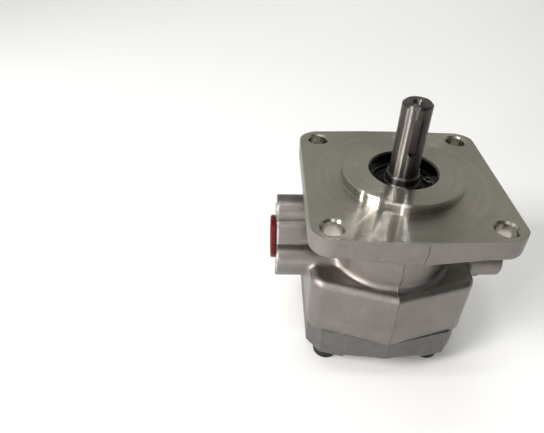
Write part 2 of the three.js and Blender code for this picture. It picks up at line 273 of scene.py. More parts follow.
def stadium_ring(radius, z, steps=24):
    """Ring of points round both gear axes."""
    ring = []
    for k in range(steps + 1):
        a = math.pi + math.pi * k / steps
        ring.append((radius * math.cos(a), radius * math.sin(a), z))
    for k in range(steps + 1):
        a = math.pi * k / steps
        ring.append((radius * math.cos(a), CENTRES + radius * math.sin(a), z))
    return ring


def turned_to_x(verts, side, x, y, z):
    """Lays a solid built along +Z so that its Z points along side * X, with its origin at (x, y, z)."""
    v = np.asarray(verts, float)
    return np.stack([x + side * v[:, 2], y + v[:, 0], z + side * v[:, 1]], axis=1)


# ---- castings: a distance field in millimetres, meshed by surface nets ----
def blend(a, b, k):
    """Union of two fields with a fillet about k wide."""
    h = np.clip(0.5 + 0.5 * (b - a) / k, 0, 1)
    return b * (1 - h) + a * h - k * h * (1 - h)


def carve(a, b, k):
    """Field a with b taken out of it, the edge eased by k."""
    return -blend(-a, b, k)


def disc(u, v, cu, cv, r):
    return np.hypot(u - cu, v - cv) - r


def outline(u, v, corners, r):
    """Distance to a convex polygon, anticlockwise, grown by r."""
    inside = np.full(np.broadcast(u, v).shape, -1e9)
    outside = np.full(np.broadcast(u, v).shape, 1e9)
    for (au, av), (bu, bv) in zip(corners, corners[1:] + corners[:1]):
        eu, ev = bu - au, bv - av
        length = math.hypot(eu, ev)
        inside = np.maximum(inside, ((u - au) * ev - (v - av) * eu) / length)
        t = np.clip(((u - au) * eu + (v - av) * ev) / length**2, 0, 1)
        outside = np.minimum(outside, np.hypot(u - au - t * eu, v - av - t * ev))
    return np.where(inside > 0, outside, inside) - r


def slab(d, w, w0, w1, r):
    """Extrusion of outline field d from w0 to w1 with both end edges rounded by r."""
    e = np.abs(w - (w0 + w1) / 2) - (w1 - w0) / 2 + r
    d = d + r
    return np.minimum(np.maximum(d, e), 0) + np.hypot(np.maximum(d, 0), np.maximum(e, 0)) - r


def ticks(low, high, step, fine=()):
    """Grid lines from low to high, with (from, to, step) stretches of finer ones."""
    edges = [low]
    while edges[-1] < high:
        at = edges[-1]
        here = next((s for a, b, s in fine if a <= at < b), step)
        edges.append(at + here)
    return np.array(edges)


def surface_net(field, xs, ys, zs):
    """Quads of the surface where field is zero, on a grid with lines xs, ys, zs."""
    value = field(xs[:, None, None], ys[None, :, None], zs[None, None, :])
    inside = value < 0
    shape = tuple(n - 1 for n in value.shape)
    total = np.zeros(shape + (3,))
    count = np.zeros(shape, int)
    lines = (xs, ys, zs)
    for axis in range(3):
        others = [k for k in range(3) if k != axis]
        lo = [slice(None)] * 3
        hi = [slice(None)] * 3
        lo[axis], hi[axis] = slice(0, -1), slice(1, None)
        a, b = value[tuple(lo)], value[tuple(hi)]
        crossed = inside[tuple(lo)] != inside[tuple(hi)]
        t = np.where(crossed, a / np.where(a == b, 1, a - b), 0)
        point = [None] * 3
        view = [1, 1, 1]
        view[axis] = -1
        step = np.diff(lines[axis]).reshape(view)
        for k in range(3):
            view = [1, 1, 1]
            view[k] = -1
            base = lines[k][:-1] if k == axis else lines[k]
            point[k] = np.broadcast_to(base.reshape(view), t.shape) + (t * step if k == axis else 0)
        for du in (0, 1):
            for dv in (0, 1):
                cut = [slice(None)] * 3
                cut[others[0]] = slice(du, du + shape[others[0]])
                cut[others[1]] = slice(dv, dv + shape[others[1]])
                cut = tuple(cut)
                c = crossed[cut]
                count += c
                for k in range(3):
                    total[..., k] += np.where(c, point[k][cut], 0)
    used = count > 0
    number = np.full(shape, -1, int)
    number[used] = np.arange(int(used.sum()))
    verts = total[used] / count[used][:, None]
    faces = []
    for axis in range(3):
        u, v = (axis + 1) % 3, (axis + 2) % 3
        lo = [slice(None)] * 3
        hi = [slice(None)] * 3
        lo[axis], hi[axis] = slice(0, -1), slice(1, None)
        start, end = inside[tuple(lo)], inside[tuple(hi)]
        index = np.argwhere(start != end)
        keep = (index[:, u] > 0) & (index[:, v] > 0)
        keep &= (index[:, u] < shape[u]) & (index[:, v] < shape[v])
        index = index[keep]
        leaving = start[tuple(index.T)]
        corner = []
        for du, dv in ((1, 1), (0, 1), (0, 0), (1, 0)):
            cell = index.copy()
            cell[:, u] -= du
            cell[:, v] -= dv
            corner.append(number[tuple(cell.T)])
        quad = np.stack(corner, axis=1)
        quad[~leaving] = quad[~leaving][:, ::-1]
        faces.append(quad)
    return verts, np.concatenate(faces)


def casting(name, field, xs, ys, zs, material):
    """Mesh of a cast shape: surface nets, with each vertex then drawn onto the exact surface."""
    verts, faces = surface_net(field, xs, ys, zs)
    h = 0.05  # step of the slope
    most = 0.45  # how far a vertex may move
    start = verts.copy()
    for _ in range(5):
        x, y, z = verts.T
        here = field(x, y, z)
        slope = np.stack([field(x + h, y, z) - field(x - h, y, z), field(x, y + h, z) - field(x, y - h, z),
                          field(x, y, z + h) - field(x, y, z - h)], axis=1) / (2 * h)
        size = np.maximum((slope**2).sum(1), 0.1)
        verts = verts - slope * (here / size)[:, None]
        verts = start + np.clip(verts - start, -most, most)
    mesh = bpy.data.meshes.new(name)
    mesh.vertices.add(len(verts))
    mesh.vertices.foreach_set("co", (verts * MM).ravel())
    mesh.loops.add(faces.size)
    mesh.loops.foreach_set("vertex_index", faces.ravel().astype(np.int32))
    mesh.polygons.add(len(faces))
    mesh.polygons.foreach_set("loop_start", np.arange(0, faces.size, 4, dtype=np.int32))
    mesh.update(calc_edges=True)
    mesh.validate()
    mesh.materials.append(material)
    obj = bpy.data.objects.new(name, mesh)
    bpy.context.scene.collection.objects.link(obj)
    return obj


# =====================================================================================
# Materials
# =====================================================================================
class Shader:
    """A procedural material on a Principled shader, with short names for the usual nodes."""

    def __init__(self, name, **constants):
        self.material = bpy.data.materials.new(name)
        self.material.use_nodes = True
        self.tree = self.material.node_tree
        self.principled = self.tree.nodes["Principled BSDF"]
        for key, value in constants.items():
            self.principled.inputs[key.replace("_", " ")].default_value = value
        coords = self.tree.nodes.new("ShaderNodeTexCoord")
        self.place = coords.outputs["Object"]

    def node(self, kind, settings=None, **inputs):
        """A node with its settings and inputs; an input is given by its name, or as i0, i1, ... by its number."""
        made = self.tree.nodes.new("ShaderNode" + kind)
        for key, value in (settings or {}).items():
            setattr(made, key, value)
        for key, value in inputs.items():
            numbered = key[0] == "i" and key[1:].isdigit()
            self.feed(made.inputs[int(key[1:]) if numbered else key.replace("_", " ")], value)
        return made

    def feed(self, socket, value):
        if isinstance(value, bpy.types.NodeSocket):
            self.tree.links.new(value, socket)
        else:
            socket.default_value = value

    def math(self, operation, a, b=0.0, c=0.0):
        return self.node("Math", {"operation": operation}, i0=a, i1=b, i2=c).outputs[0]

    def vector(self, operation, **inputs):
        return self.node("VectorMath", {"operation": operation}, **inputs).outputs[0]

    def rings(self, value, width_mm):
        """Noise along one length only, in bands about width_mm wide."""
        at = self.math("MULTIPLY", value, 1 / (width_mm * MM))
        return self.node("TexNoise", {"noise_dimensions": "1D"}, W=at, Scale=1.0, Detail=2.0).outputs["Fac"]

    def noise(self, size_mm, detail=3.0, rough=0.55, stretch=(1, 1, 1), shift=0.0):
        """Noise whose blotches are about size_mm across, stretched along an axis by the factors given."""
        at = self.node("Mapping", None, Vector=self.place, Location=(shift, shift, shift),
                       Scale=[1 / (MM * size_mm * s) for s in stretch]).outputs[0]
        return self.node("TexNoise", None, Vector=at, Scale=1.0, Detail=detail, Roughness=rough).outputs["Fac"]

    def ramp(self, value, low, high, to_low=0.0, to_high=1.0):
        return self.node("MapRange", {"clamp": True}, Value=value, From_Min=low, From_Max=high, To_Min=to_low,
                         To_Max=to_high).outputs[0]

    def mix(self, factor, a, b):
        made = self.tree.nodes.new("ShaderNodeMix")
        made.data_type = "RGBA"
        self.feed(made.inputs[0], factor)
        self.feed(made.inputs[6], a)
        self.feed(made.inputs[7], b)
        return made.outputs[2]

    def axes(self):
        made = self.node("SeparateXYZ", None, Vector=self.place)
        return made.outputs[0], made.outputs[1], made.outputs[2]

    def bump(self, height, strength, distance_mm):
        return self.node("Bump", None, Height=height, Strength=strength, Distance=distance_mm * MM).outputs[0]

    def tangent(self):
        """Tangent round the drive axis, which draws highlights out across turned or ground marks."""
        return self.node("Tangent", {"direction_type": "RADIAL", "axis": "Z"}).outputs[0]

    def finish(self, **inputs):
        for key, value in inputs.items():
            self.feed(self.principled.inputs[key.replace("_", " ")], value)
        return self.material


def darker(colour, factor):
    return tuple(c * factor for c in colour[:3]) + (1.0,)


def cast_body():
    """Die-cast aluminium: fine grain, soft stains, a few pits and the dark seam of the mould's parting line."""
    light, dark, roughness = (0.27, 0.247, 0.233, 1), (0.17, 0.155, 0.144, 1), 0.42
    s = Shader("cast_body", Metallic=1.0)
    stain = s.noise(16, 3, 0.6)
    patch = s.noise(4.5, 4, 0.65, shift=3.1)
    grain = s.noise(0.55, 2, 0.6)
    speck = s.noise(0.9, 1, 0.5, shift=7.7)
    tone = s.math("ADD", s.math("MULTIPLY", stain, 0.45), s.math("MULTIPLY", patch, 0.4))
    tone = s.math("ADD", tone, s.math("MULTIPLY", grain, 0.35))
    colour = s.mix(s.ramp(tone, 0.38, 0.82), dark, light)
    pits = s.ramp(speck, 0.66, 0.74)
    colour = s.mix(s.math("MULTIPLY", pits, 0.35), colour, darker(dark, 0.45))
    # The seam follows parting_ridge(), in metres.
    x, _, z = s.axes()
    slow = s.math("MULTIPLY", s.math("SINE", s.math("MULTIPLY_ADD", z, 210, 0.6)), 0.35 * MM)
    quick = s.math("MULTIPLY", s.math("SINE", s.math("MULTIPLY", z, 630)), 0.2 * MM)
    step = s.math("MULTIPLY", s.ramp(z, 82 * MM, 86 * MM), 1.4 * MM)
    beside = s.math("SUBTRACT", x, s.math("ADD", step, s.math("ADD", slow, quick)))
    seam = s.math("MULTIPLY", s.ramp(beside, -0.1 * MM, 0.15 * MM), s.ramp(beside, 0.75 * MM, 0.3 * MM))
    seam = s.math("MULTIPLY", seam, s.ramp(patch, 0.3, 0.55))
    colour = s.mix(s.math("MULTIPLY", seam, 0.65), colour, darker(dark, 0.3))
    rough = s.ramp(s.math("ADD", s.math("MULTIPLY", grain, 0.6), s.math("MULTIPLY", patch, 0.4)), 0.3, 0.7,
                   roughness - 0.08, roughness + 0.1)
    height = s.math("SUBTRACT", s.math("ADD", s.math("MULTIPLY", grain, 0.6), s.math("MULTIPLY", patch, 0.9)),
                    s.math("MULTIPLY", pits, 0.3))
    return s.finish(Base_Color=colour, Roughness=rough, Normal=s.bump(height, 0.55, 0.16))


def turned_metal(name, colour, roughness, anisotropy, groove=0.0):
    """Lathe-turned metal: tool marks about the drive axis and the highlight they draw out.

    The grooves are finer than a pixel: groove is the steepest slope of their flanks, tipped at random.
    """
    s = Shader(name, Metallic=1.0, Anisotropic=anisotropy, Anisotropic_Rotation=0.25)
    x, y, z = s.axes()
    radius = s.math("SQRT", s.math("ADD", s.math("MULTIPLY", x, x), s.math("MULTIPLY", y, y)))
    spread = s.math("ADD", radius, z)  # runs along a face, a side and a cone alike
    fine = s.rings(spread, 0.35)
    broad = s.rings(spread, 3.2)
    smear = s.noise(11, 3, 0.6)
    tone = s.math("ADD", s.math("MULTIPLY", broad, 0.35), s.math("MULTIPLY", smear, 0.5))
    tone = s.math("ADD", tone, s.math("MULTIPLY", fine, 0.2))
    shaded = s.mix(s.ramp(tone, 0.3, 0.75), darker(colour, 0.84), colour)
    rough = s.ramp(tone, 0.3, 0.75, roughness + 0.03, roughness - 0.03)
    normal = s.bump(fine, 0.8, 0.01)
    if groove:
        pick = s.node("TexWhiteNoise", {"noise_dimensions": "1D"},
                      W=s.math("MULTIPLY", spread, GROOVES_PER_M)).outputs["Value"]
        steep = s.math("POWER", s.math("ABSOLUTE", s.math("MULTIPLY_ADD", pick, 2, -1)), 2.6)
        way = s.math("SIGN", s.math("SUBTRACT", pick, 0.5))
        slope = s.math("MULTIPLY", steep, s.math("MULTIPLY", way, groove))
        along = s.vector("NORMALIZE", i0=s.node("CombineXYZ", None, X=s.math("MULTIPLY", y, -1), Y=x).outputs[0])
        across = s.vector("CROSS_PRODUCT", i0=normal, i1=along)
        normal = s.vector("ADD", i0=normal, i1=s.vector("SCALE", i0=across, Scale=slope))
        normal = s.vector("NORMALIZE", i0=normal)
    return s.finish(Base_Color=shaded, Roughness=rough, Tangent=s.tangent(), Normal=normal)


def plain_metal(name, colour, roughness, grain_mm, stretch=(1, 1, 1)):
    """Milled, ground or sintered metal with fine marks drawn out by stretch."""
    s = Shader(name, Metallic=1.0)
    marks = s.noise(grain_mm, 3, 0.6, stretch)
    stain = s.noise(7, 3, 0.6, shift=5.3)
    tone = s.math("ADD", s.math("MULTIPLY", marks, 0.45), s.math("MULTIPLY", stain, 0.55))
    shaded = s.mix(s.ramp(tone, 0.35, 0.68), darker(colour, 0.8), colour)
    rough = s.ramp(tone, 0.35, 0.68, roughness + 0.07, roughness - 0.05)
    return s.finish(Base_Color=shaded, Roughness=rough, Normal=s.bump(marks, 0.4, 0.03))


def cover_metal():
    """Cast cover: light bluish pad face, darker and smoother end slopes and sides."""
    s = Shader("cast_cover", Metallic=0.75)
    z = s.axes()[2]
    stain = s.noise(13, 3, 0.6)
    patch = s.noise(4, 4, 0.65, shift=2.2)
    grain = s.noise(0.5, 2, 0.6)
    tone = s.math("ADD", s.math("MULTIPLY", stain, 0.4), s.math("MULTIPLY", patch, 0.4))
    tone = s.math("ADD", tone, s.math("MULTIPLY", grain, 0.35))
    spread = s.ramp(tone, 0.38, 0.8)
    pad = s.mix(spread, (0.25, 0.25, 0.27, 1), (0.40, 0.40, 0.43, 1))
    flank = s.mix(spread, (0.095, 0.092, 0.089, 1), (0.16, 0.156, 0.152, 1))
    height = s.math("ADD", s.math("MULTIPLY", grain, 0.6), s.math("MULTIPLY", patch, 0.8))
    # The pad's face is at z = 0.
    return s.finish(Base_Color=s.mix(s.ramp(z, 0.9 * MM, 0.3 * MM), flank, pad),
                    Roughness=s.ramp(tone, 0.38, 0.8, 0.55, 0.42), Normal=s.bump(height, 0.5, 0.12))


def black_steel():
    """Black-oxide screw steel with oily sheen and slightly worn edges."""
    s = Shader("black_steel", Metallic=0.35)
    stain = s.noise(2.5, 3, 0.6)
    grain = s.noise(0.3, 2, 0.6)
    tone = s.math("ADD", s.math("MULTIPLY", stain, 0.6), s.math("MULTIPLY", grain, 0.4))
    colour = s.mix(s.ramp(tone, 0.4, 0.7), (0.006, 0.006, 0.007, 1), (0.020, 0.019, 0.020, 1))
    return s.finish(Base_Color=colour, Roughness=s.ramp(tone, 0.35, 0.7, 0.22, 0.38),
                    Normal=s.bump(grain, 0.35, 0.02))


def ground_steel():
    """Hardened shaft, ground round: dark polish with fine rings along its length."""
    s = Shader("ground_steel", Metallic=1.0, Anisotropic=1.0, Anisotropic_Rotation=0.25)
    rings = s.rings(s.axes()[2], 0.25)
    stain = s.noise(4, 3, 0.6, (1, 1, 3))
    tone = s.math("ADD", s.math("MULTIPLY", rings, 0.4), s.math("MULTIPLY", stain, 0.6))
    colour = s.mix(s.ramp(tone, 0.35, 0.68), (0.09, 0.082, 0.074, 1), (0.17, 0.157, 0.144, 1))
    return s.finish(Base_Color=colour, Roughness=s.ramp(tone, 0.35, 0.68, 0.36, 0.30), Tangent=s.tangent(),
                    Normal=s.bump(rings, 0.2, 0.01))


def rubber():
    """Nitrile rubber: matt black with a faint bloom."""
    s = Shader("seal_rubber", Metallic=0.0)
    bloom = s.noise(2.2, 3, 0.6)
    grain = s.noise(0.25, 2, 0.6)
    colour = s.mix(s.ramp(bloom, 0.4, 0.7), (0.006, 0.006, 0.006, 1), (0.018, 0.017, 0.016, 1))
    return s.finish(Base_Color=colour, Roughness=s.ramp(grain, 0.3, 0.7, 0.5, 0.7), Normal=s.bump(grain, 0.4, 0.03))


def plug_plastic():
    """Moulded red polyethylene, slightly waxy, with shallow sink marks, its red darkened by painted shadow."""
    s = Shader("plug_plastic", Metallic=0.0, Subsurface_Weight=0.08, Specular_IOR_Level=0.2)
    s.principled.inputs["Subsurface Radius"].default_value = (0.004, 0.0008, 0.0006)
    sink = s.noise(5, 2, 0.5)
    grain = s.noise(0.35, 2, 0.6)
    # Painted shadow: both reds are far darker than the plastic, standing in for the shade the plug lies in.
    colour = s.mix(s.ramp(sink, 0.35, 0.65), (0.06, 0.001, 0.002, 1), (0.10, 0.0015, 0.003, 1))
    return s.finish(Base_Color=colour, Roughness=s.ramp(grain, 0.3, 0.7, 0.30, 0.42),
                    Normal=s.bump(s.math("ADD", sink, s.math("MULTIPLY", grain, 0.15)), 0.3, 0.06))


GROOVES_PER_M = 5e4
CAST = cast_body()
TURNED = turned_metal("turned_face", (0.48, 0.455, 0.41, 1), 0.19, 1.0, 0.85)
BORED = turned_metal("bored_metal", (0.46, 0.44, 0.40, 1), 0.24, 0.3)
# Painted shade: the seal bore's turned metal is made near black to stand in for the shade inside the bore.
SHADED_SEAL_BORE = turned_metal("seal_bore", (0.11, 0.105, 0.095, 1), 0.16, 0.0)
MILLED = plain_metal("milled_face", (0.46, 0.45, 0.43, 1), 0.34, 0.5, (1, 8, 1))
COVER = cover_metal()
BLACK = black_steel()
STEEL = ground_steel()
KEYWAY = plain_metal("keyway_steel", (0.10, 0.09, 0.085, 1), 0.38, 0.4, (1, 1, 6))
# Painted shade: the spring steel is darkened to stand in for the shade in the seal bore, where the retaining ring
# sits.
SHADED_SPRING = plain_metal("spring_steel", (0.28, 0.275, 0.27, 1), 0.24, 0.6)
RUBBER = rubber()
# Red plug plastic with painted shadow in its colour.
SHADOWED_PLUG = plug_plastic()
BLOCK = plain_metal("bearing_block", (0.55, 0.54, 0.52, 1), 0.38, 0.7)
BRONZE = plain_metal("bearing_bronze", (0.42, 0.27, 0.15, 1), 0.40, 0.5)


# =====================================================================================
# Body casting and its machining
# =====================================================================================
HOUSING_ROUND = 5.0
DRAFT = -math.tan(math.radians(2.2))


def housing_corners():
    """Outline of the gear housing less its 5 mm round; with it, the side corners are 8 mm round."""
    quarter = [(0.0, -29.5)]
    for k in range(7):
        a = math.radians(-75.65 + 75.65 * k / 6)
        quarter.append((31.3 + 3 * math.cos(a), -18.4 + 3 * math.sin(a)))
    right = quarter + [(x, CENTRES - y) for x, y in reversed(quarter)]
    return right + [(-x, y) for x, y in reversed(right[1:-1])]


HOUSING = housing_corners()


def neck_outline(x, y, r0, r1):
    """Distance to the outline that wraps a circle r0 on the drive axis and r1 on the driven axis."""
    lean = (r0 - r1) / CENTRES
    side = np.sqrt(1 - lean**2)
    ax = np.abs(x)
    along = ax * -lean + y * side
    low = np.hypot(ax, y) - r0
    high = np.hypot(ax, y - CENTRES) - r1
    flank = ax * side + y * lean - r0
    return np.where(along < 0, low, np.where(along > side * CENTRES, high, flank))


def port_boss(y, z):
    v, w = y - MID_Y, z - PORT_Z
    core = np.hypot(v, w) - PORT_CORE_R
    lobes = np.minimum(np.hypot(np.abs(v) - PORT_LOBE_D, w), np.hypot(v, np.abs(w) - PORT_LOBE_D)) - PORT_LOBE_R
    return blend(core, lobes, 1.2)


def parting_ridge(x, y, z):
    """Height of the mould's parting line, a low ridge that wanders down both narrow sides."""
    at = 1.4 * np.clip((z - 82) / 4, 0, 1) + 0.35 * np.sin(z * 0.21 + 0.6) + 0.2 * np.sin(z * 0.63)
    return 0.12 * np.exp(-((x - at) / 0.30) ** 2)


def body_field(x, y, z):
    """Body casting with some stock left on its machined faces."""
    # The mould opens along X: both narrow sides fall away from the parting line.
    v = y - MID_Y
    y = y - np.sign(v) * np.minimum(np.abs(x) * DRAFT * np.clip((np.abs(v) - 14) / 14, 0, 1), 1.3)
    flange = np.hypot(np.maximum(np.abs(x) - FLANGE_STRAIGHT, 0), np.maximum(np.abs(y) - FLANGE_STRAIGHT, 0))
    flange = flange - FLANGE_CORNER_R
    under = Z_FLANGE - (Z_FLANGE - Z_PARTING) * np.clip(1 - np.abs(x) / FLAT_X, 0, 1)
    flange = slab(flange, z + (Z_FLANGE - under), Z_FLANGE, Z_FACE + STOCK, 1.1)
    spigot = slab(disc(x, y, 0, 0, PILOT_R + 1.2), z, 84, Z_PILOT + 3, 0.5)
    foot = 0.012 * (Z_FLANGE - z) + 0.6 * np.clip((Z_SHELF + 4 - z) / 4, 0, 1) ** 2
    neck = slab(neck_outline(x, y, NECK_R, NECK_TAIL_R) - foot, z, 44, 92, 0.5)
    housing = slab(outline(x, y, HOUSING, HOUSING_ROUND), z, 18, Z_SHELF, 3.6)
    bosses = slab(port_boss(y, z), x, -PORT_FACE - 0.35, PORT_FACE + 0.35, 1.3)
    cast = blend(blend(flange, neck, 2.0), spigot, 0.5)
    cast = blend(cast, housing, 2.4)
    cast = blend(cast, bosses, 3.0)
    return np.maximum(cast - parting_ridge(x, y, z), Z_JOINT - 1 - z)


def hole_profile(r, low, high, chamfer):
    return [(0, low), (r, low), (r, high - chamfer), (r + chamfer + 0.4, high + 0.4), (0, high + 0.4)]


def thread_profile(r, low, high):
    """Threaded hole: a chamfered mouth and a row of thread grooves."""
    pitch, depth = 1.0, 0.42
    points = [(0, low), (r, low)]
    z = low + 0.5
    while z < high - 1.6:
        points += [(r, z), (r + depth, z + pitch * 0.45), (r, z + pitch * 0.9)]
        z += pitch
    return points + [(r, high - 0.9), (r + 1.3, high + 0.4), (0, high + 0.4)]


def build_body():
    xs = ticks(-56, 56, CAST_GRID, [(-1.6, 3.0, CAST_GRID / 3)])
    ys = ticks(BODY_LOW.y - 1.2, BODY_HIGH.y + 1.2, CAST_GRID)
    zs = ticks(Z_JOINT - 2, Z_PILOT + 4.5, CAST_GRID)
    body = casting("pump_body", body_field, xs, ys, zs, CAST)

    def machine(name, made, material):
        boolean(body, make_object(name, *made, material))

    machine("joint_face", block(-70, 70, -70, 90, Z_JOINT - STOCK, Z_JOINT), MILLED)
    machine("turning", lathe(rounded_profile([
        (0, Z_PILOT), (PILOT_R - 0.8, Z_PILOT), (PILOT_R, Z_PILOT - 0.8), (PILOT_R, Z_FACE, 0.5), (90, Z_FACE),
        (90, Z_PILOT + STOCK), (0, Z_PILOT + STOCK)]), segments=160), TURNED)
    half, corner = FLANGE_HALF, FLANGE_CORNER_R
    machine("flange_edge", loft([
        rounded_square(half - 0.55, corner - 0.5, Z_FACE + 0.1),
        rounded_square(half + 0.3, corner + 0.3, Z_FACE - 0.75),
        rounded_square(half + 0.6, corner + 0.6, Z_FACE + 0.1)], cap=False), MILLED)
    machine("mounting_holes", merged([
        lathe(hole_profile(HOLE_R, Z_FLANGE - 3, Z_FACE, 0.9), sx * HOLE_HALF, sy * HOLE_HALF, 56)
        for sx in (-1, 1) for sy in (-1, 1)]), BORED)
    for side in (-1, 1):
        face = side * PORT_FACE
        machine("port_face", block(*sorted((face, face + side * STOCK)), -60, 90, 10, 84), MILLED)
        bore = [(0, -54), (7, -54), (7, -18.5), (9.5, -18.5), (9.5, -0.7), (10.6, 0.4), (0, 0.4)]
        v, f = lathe(rounded_profile(bore), segments=72)
        machine("port_bore", outward(turned_to_x(v, side, face, MID_Y, PORT_Z), f), BORED)
        threads = []
        for dy, dz in ((1, 0), (-1, 0), (0, 1), (0, -1)):
            v, f = lathe(thread_profile(PORT_TAP_R, -12, 0), segments=24)
            v = turned_to_x(v, side, face, MID_Y + dy * PORT_LOBE_D, PORT_Z + dz * PORT_LOBE_D)
            threads.append(outward(v, f))
        machine("port_threads", merged(threads), BORED)
    groove_low, groove_high = RING_GROOVE
    # The seal bore's faces take the darkened metal, painted shade of the bore.
    machine("seal_bore", lathe(rounded_profile([
        (0, 80), (9.3, 80), (9.3, SEAL_SEAT), (SEAL_BORE_R, SEAL_SEAT), (SEAL_BORE_R, groove_low),
        (RING_GROOVE_R, groove_low), (RING_GROOVE_R, groove_high), (SEAL_BORE_R, groove_high),
        (SEAL_BORE_R, Z_PILOT - 0.7), (SEAL_BORE_R + 1.1, Z_PILOT + 0.4), (0, Z_PILOT + 0.4)]),
        segments=128), SHADED_SEAL_BORE)
    under = Z_JOINT - 1  # the cutters start a little below the joint face
    for y in (0, CENTRES):
        machine("cavity", lathe([(0, under), (CAVITY_R, under), (CAVITY_R, CAVITY_TOP), (0, CAVITY_TOP)], 0, y, 96),
                BORED)
    inner, outer, top = 16.8, 19.2, Z_JOINT + 1.6
    machine("seal_groove", loft([stadium_ring(inner, top), stadium_ring(outer, top), stadium_ring(outer, under),
                                 stadium_ring(inner, under)], cap=False), MILLED)
    machine("tapped_holes", merged([
        lathe([(0, under), (TAP_R, under), (TAP_R, 42), (0, 44)], x, y, 24) for x, y in BOLTS] + [
        lathe([(0, under), (DOWEL_R, under), (DOWEL_R, 31), (0, 31)], x, y, 24) for x, y in DOWELS]), BORED)
    shade(body, SHARP_DEG)
    return body


# =====================================================================================
# Rear cover
# =====================================================================================
COVER_CORNERS = [(0, -33.2), (31.6, -25.15), (37.7, -17.35), (37.7, CENTRES + 17.35), (31.6, CENTRES + 25.15),
                 (0, CENTRES + 33.2), (-31.6, CENTRES + 25.15), (-37.7, CENTRES + 17.35), (-37.7, -17.35),
                 (-31.6, -25.15)]


def cover_field(x, y, z):
    """Cover casting: plate, end slopes between the screws, raised pad and spot-faced screw seats."""
    v = np.abs(y - MID_Y)
    rim = outline(x, y, COVER_CORNERS, 1.1)
    rise = SLOPE_TOP / SLOPE_RUN
    level = (v - MID_Y - SLOPE_Y) * rise
    slope = (level - z) / math.hypot(1, rise)
    plate = slab(rim, z, Z_SEAT, Z_JOINT + 4, 1.5)
    plate = np.maximum(plate, np.minimum(SLOPE_HALF - np.abs(x), slope))
    ends = -blend(-np.maximum(rim, np.abs(x) - SLOPE_HALF), -np.maximum(slope, SLOPE_FLOOR - z), 1.2)
    wing = outline(x, v, [(-34, -14.6), (34, -14.6), (34, 14.6), (-34, 14.6)], 4.0)
    lobes = np.minimum(np.hypot(x, y), np.hypot(x, y - CENTRES)) - 21.4
    pad = slab(blend(blend(wing, lobes, 2.5), np.maximum(np.abs(x) - 21, v - 24), 2.0), z, 0, 14, 0.9)
    cover = blend(blend(plate, ends, 0.8), pad, 1.0)
    seats = np.full(np.broadcast(x, y).shape, 1e9)
    for bx, by in BOLTS:
        seats = np.minimum(seats, np.hypot(x - bx, y - by) - 10.0)
    return np.maximum(carve(cover, np.maximum(seats, z - Z_SEAT), 0.9), z - Z_JOINT - 1)


def build_cover():
    xs = ticks(COVER_LOW.x - 1.2, COVER_HIGH.x + 1.2, COVER_GRID)
    ys = ticks(COVER_LOW.y - 1.2, COVER_HIGH.y + 1.2, COVER_GRID)
    zs = ticks(-2 * COVER_GRID, Z_JOINT + 2.2, COVER_GRID)
    cover = casting("pump_rear_cover", cover_field, xs, ys, zs, COVER)
    boolean(cover, make_object("joint_cut", *block(-60, 60, -60, 90, COVER_HIGH.z, Z_JOINT + STOCK), MILLED))
    boolean(cover, make_object("screw_holes", *merged([
        lathe([(0, -3), (SCREW_HOLE_R, -3), (SCREW_HOLE_R, 30), (0, 30)], x, y, 40) for x, y in BOLTS]), BORED))
    boolean(cover, make_object("dowel_holes", *merged([
        lathe([(0, 15), (DOWEL_R, 15), (DOWEL_R, 30), (0, 30)], x, y, 24) for x, y in DOWELS]), BORED))
    shade(cover, SHARP_DEG)
    return cover


# =====================================================================================
# Screws, washers, shafts, seals and plugs
# =====================================================================================
HEAD_R = 6.5
HEAD_H = 8.0
SOCKET_HALF = 3.0  # half the socket's width across flats
SHANK_R = 3.95
SCREW_LENGTH = 35.0
KNURLS = 60
WASHER_R = (4.15, 7.35)
WASHER_TURNS = (2.2, 0.7, 4.4, 5.3)  # where each washer is split
KEYWAY_HALF = 2.0
KEYWAY_DEPTH = 2.5
KEYWAY_Z = (113.0, 131.5)
KEYWAY_TURN = math.radians(-88)
RING_TURN = 0.62  # direction of the retaining ring's gap
EYE_TURN = 0.52  # from the gap to each eye


def build_screw(number, x, y):
    """Socket head cap screw, head down: knurled side, bevelled rims and a hexagon socket."""
    top = HEAD_TOP
    bottom = top + HEAD_H
    end = bottom + SCREW_LENGTH

    def knurl(r, z, k):
        groove = 0.0 if k % 2 else 0.16
        inside = top + 1.3 < z < bottom - 0.5
        return r - groove if inside and r > HEAD_R - 0.1 else r

    profile = [(0, top), (5.35, top), (HEAD_R - 0.25, top + 0.45, 0.2), (HEAD_R, top + 0.8), (HEAD_R, top + 1.2),
               (HEAD_R, top + 1.35), (HEAD_R, bottom - 0.65), (HEAD_R, bottom - 0.4), (HEAD_R - 0.3, bottom),
               (SHANK_R + 0.3, bottom), (SHANK_R, bottom + 0.4), (SHANK_R, end - 1), (SHANK_R - 0.9, end), (0, end)]
    screw = make_object(f"cover_screw_{number}_steel", *lathe(rounded_profile(profile), x, y, 2 * KNURLS, knurl),
                        BLACK)
    corner = SOCKET_HALF / math.cos(math.pi / 6)

    def hexagon(z):
        turns = [math.pi / 3 * (k + 0.5) for k in range(6)]
        return [(x + corner * math.cos(a), y + corner * math.sin(a), z) for a in turns]

    boolean(screw, make_object("socket", *loft([hexagon(top - 1), hexagon(top + 4.2)]), BLACK))
    mouth = lathe([(0, top - 0.5), (4.05, top - 0.5), (3.0, top + 0.55), (0, top + 0.55)], x, y, 48)
    boolean(screw, make_object("mouth", *mouth, BLACK))
    drill = lathe([(0, top + 4.0), (2.7, top + 4.0), (0, top + 5.2)], x, y, 32)
    boolean(screw, make_object("drill", *drill, BLACK))
    shade(screw, 30)
    return screw


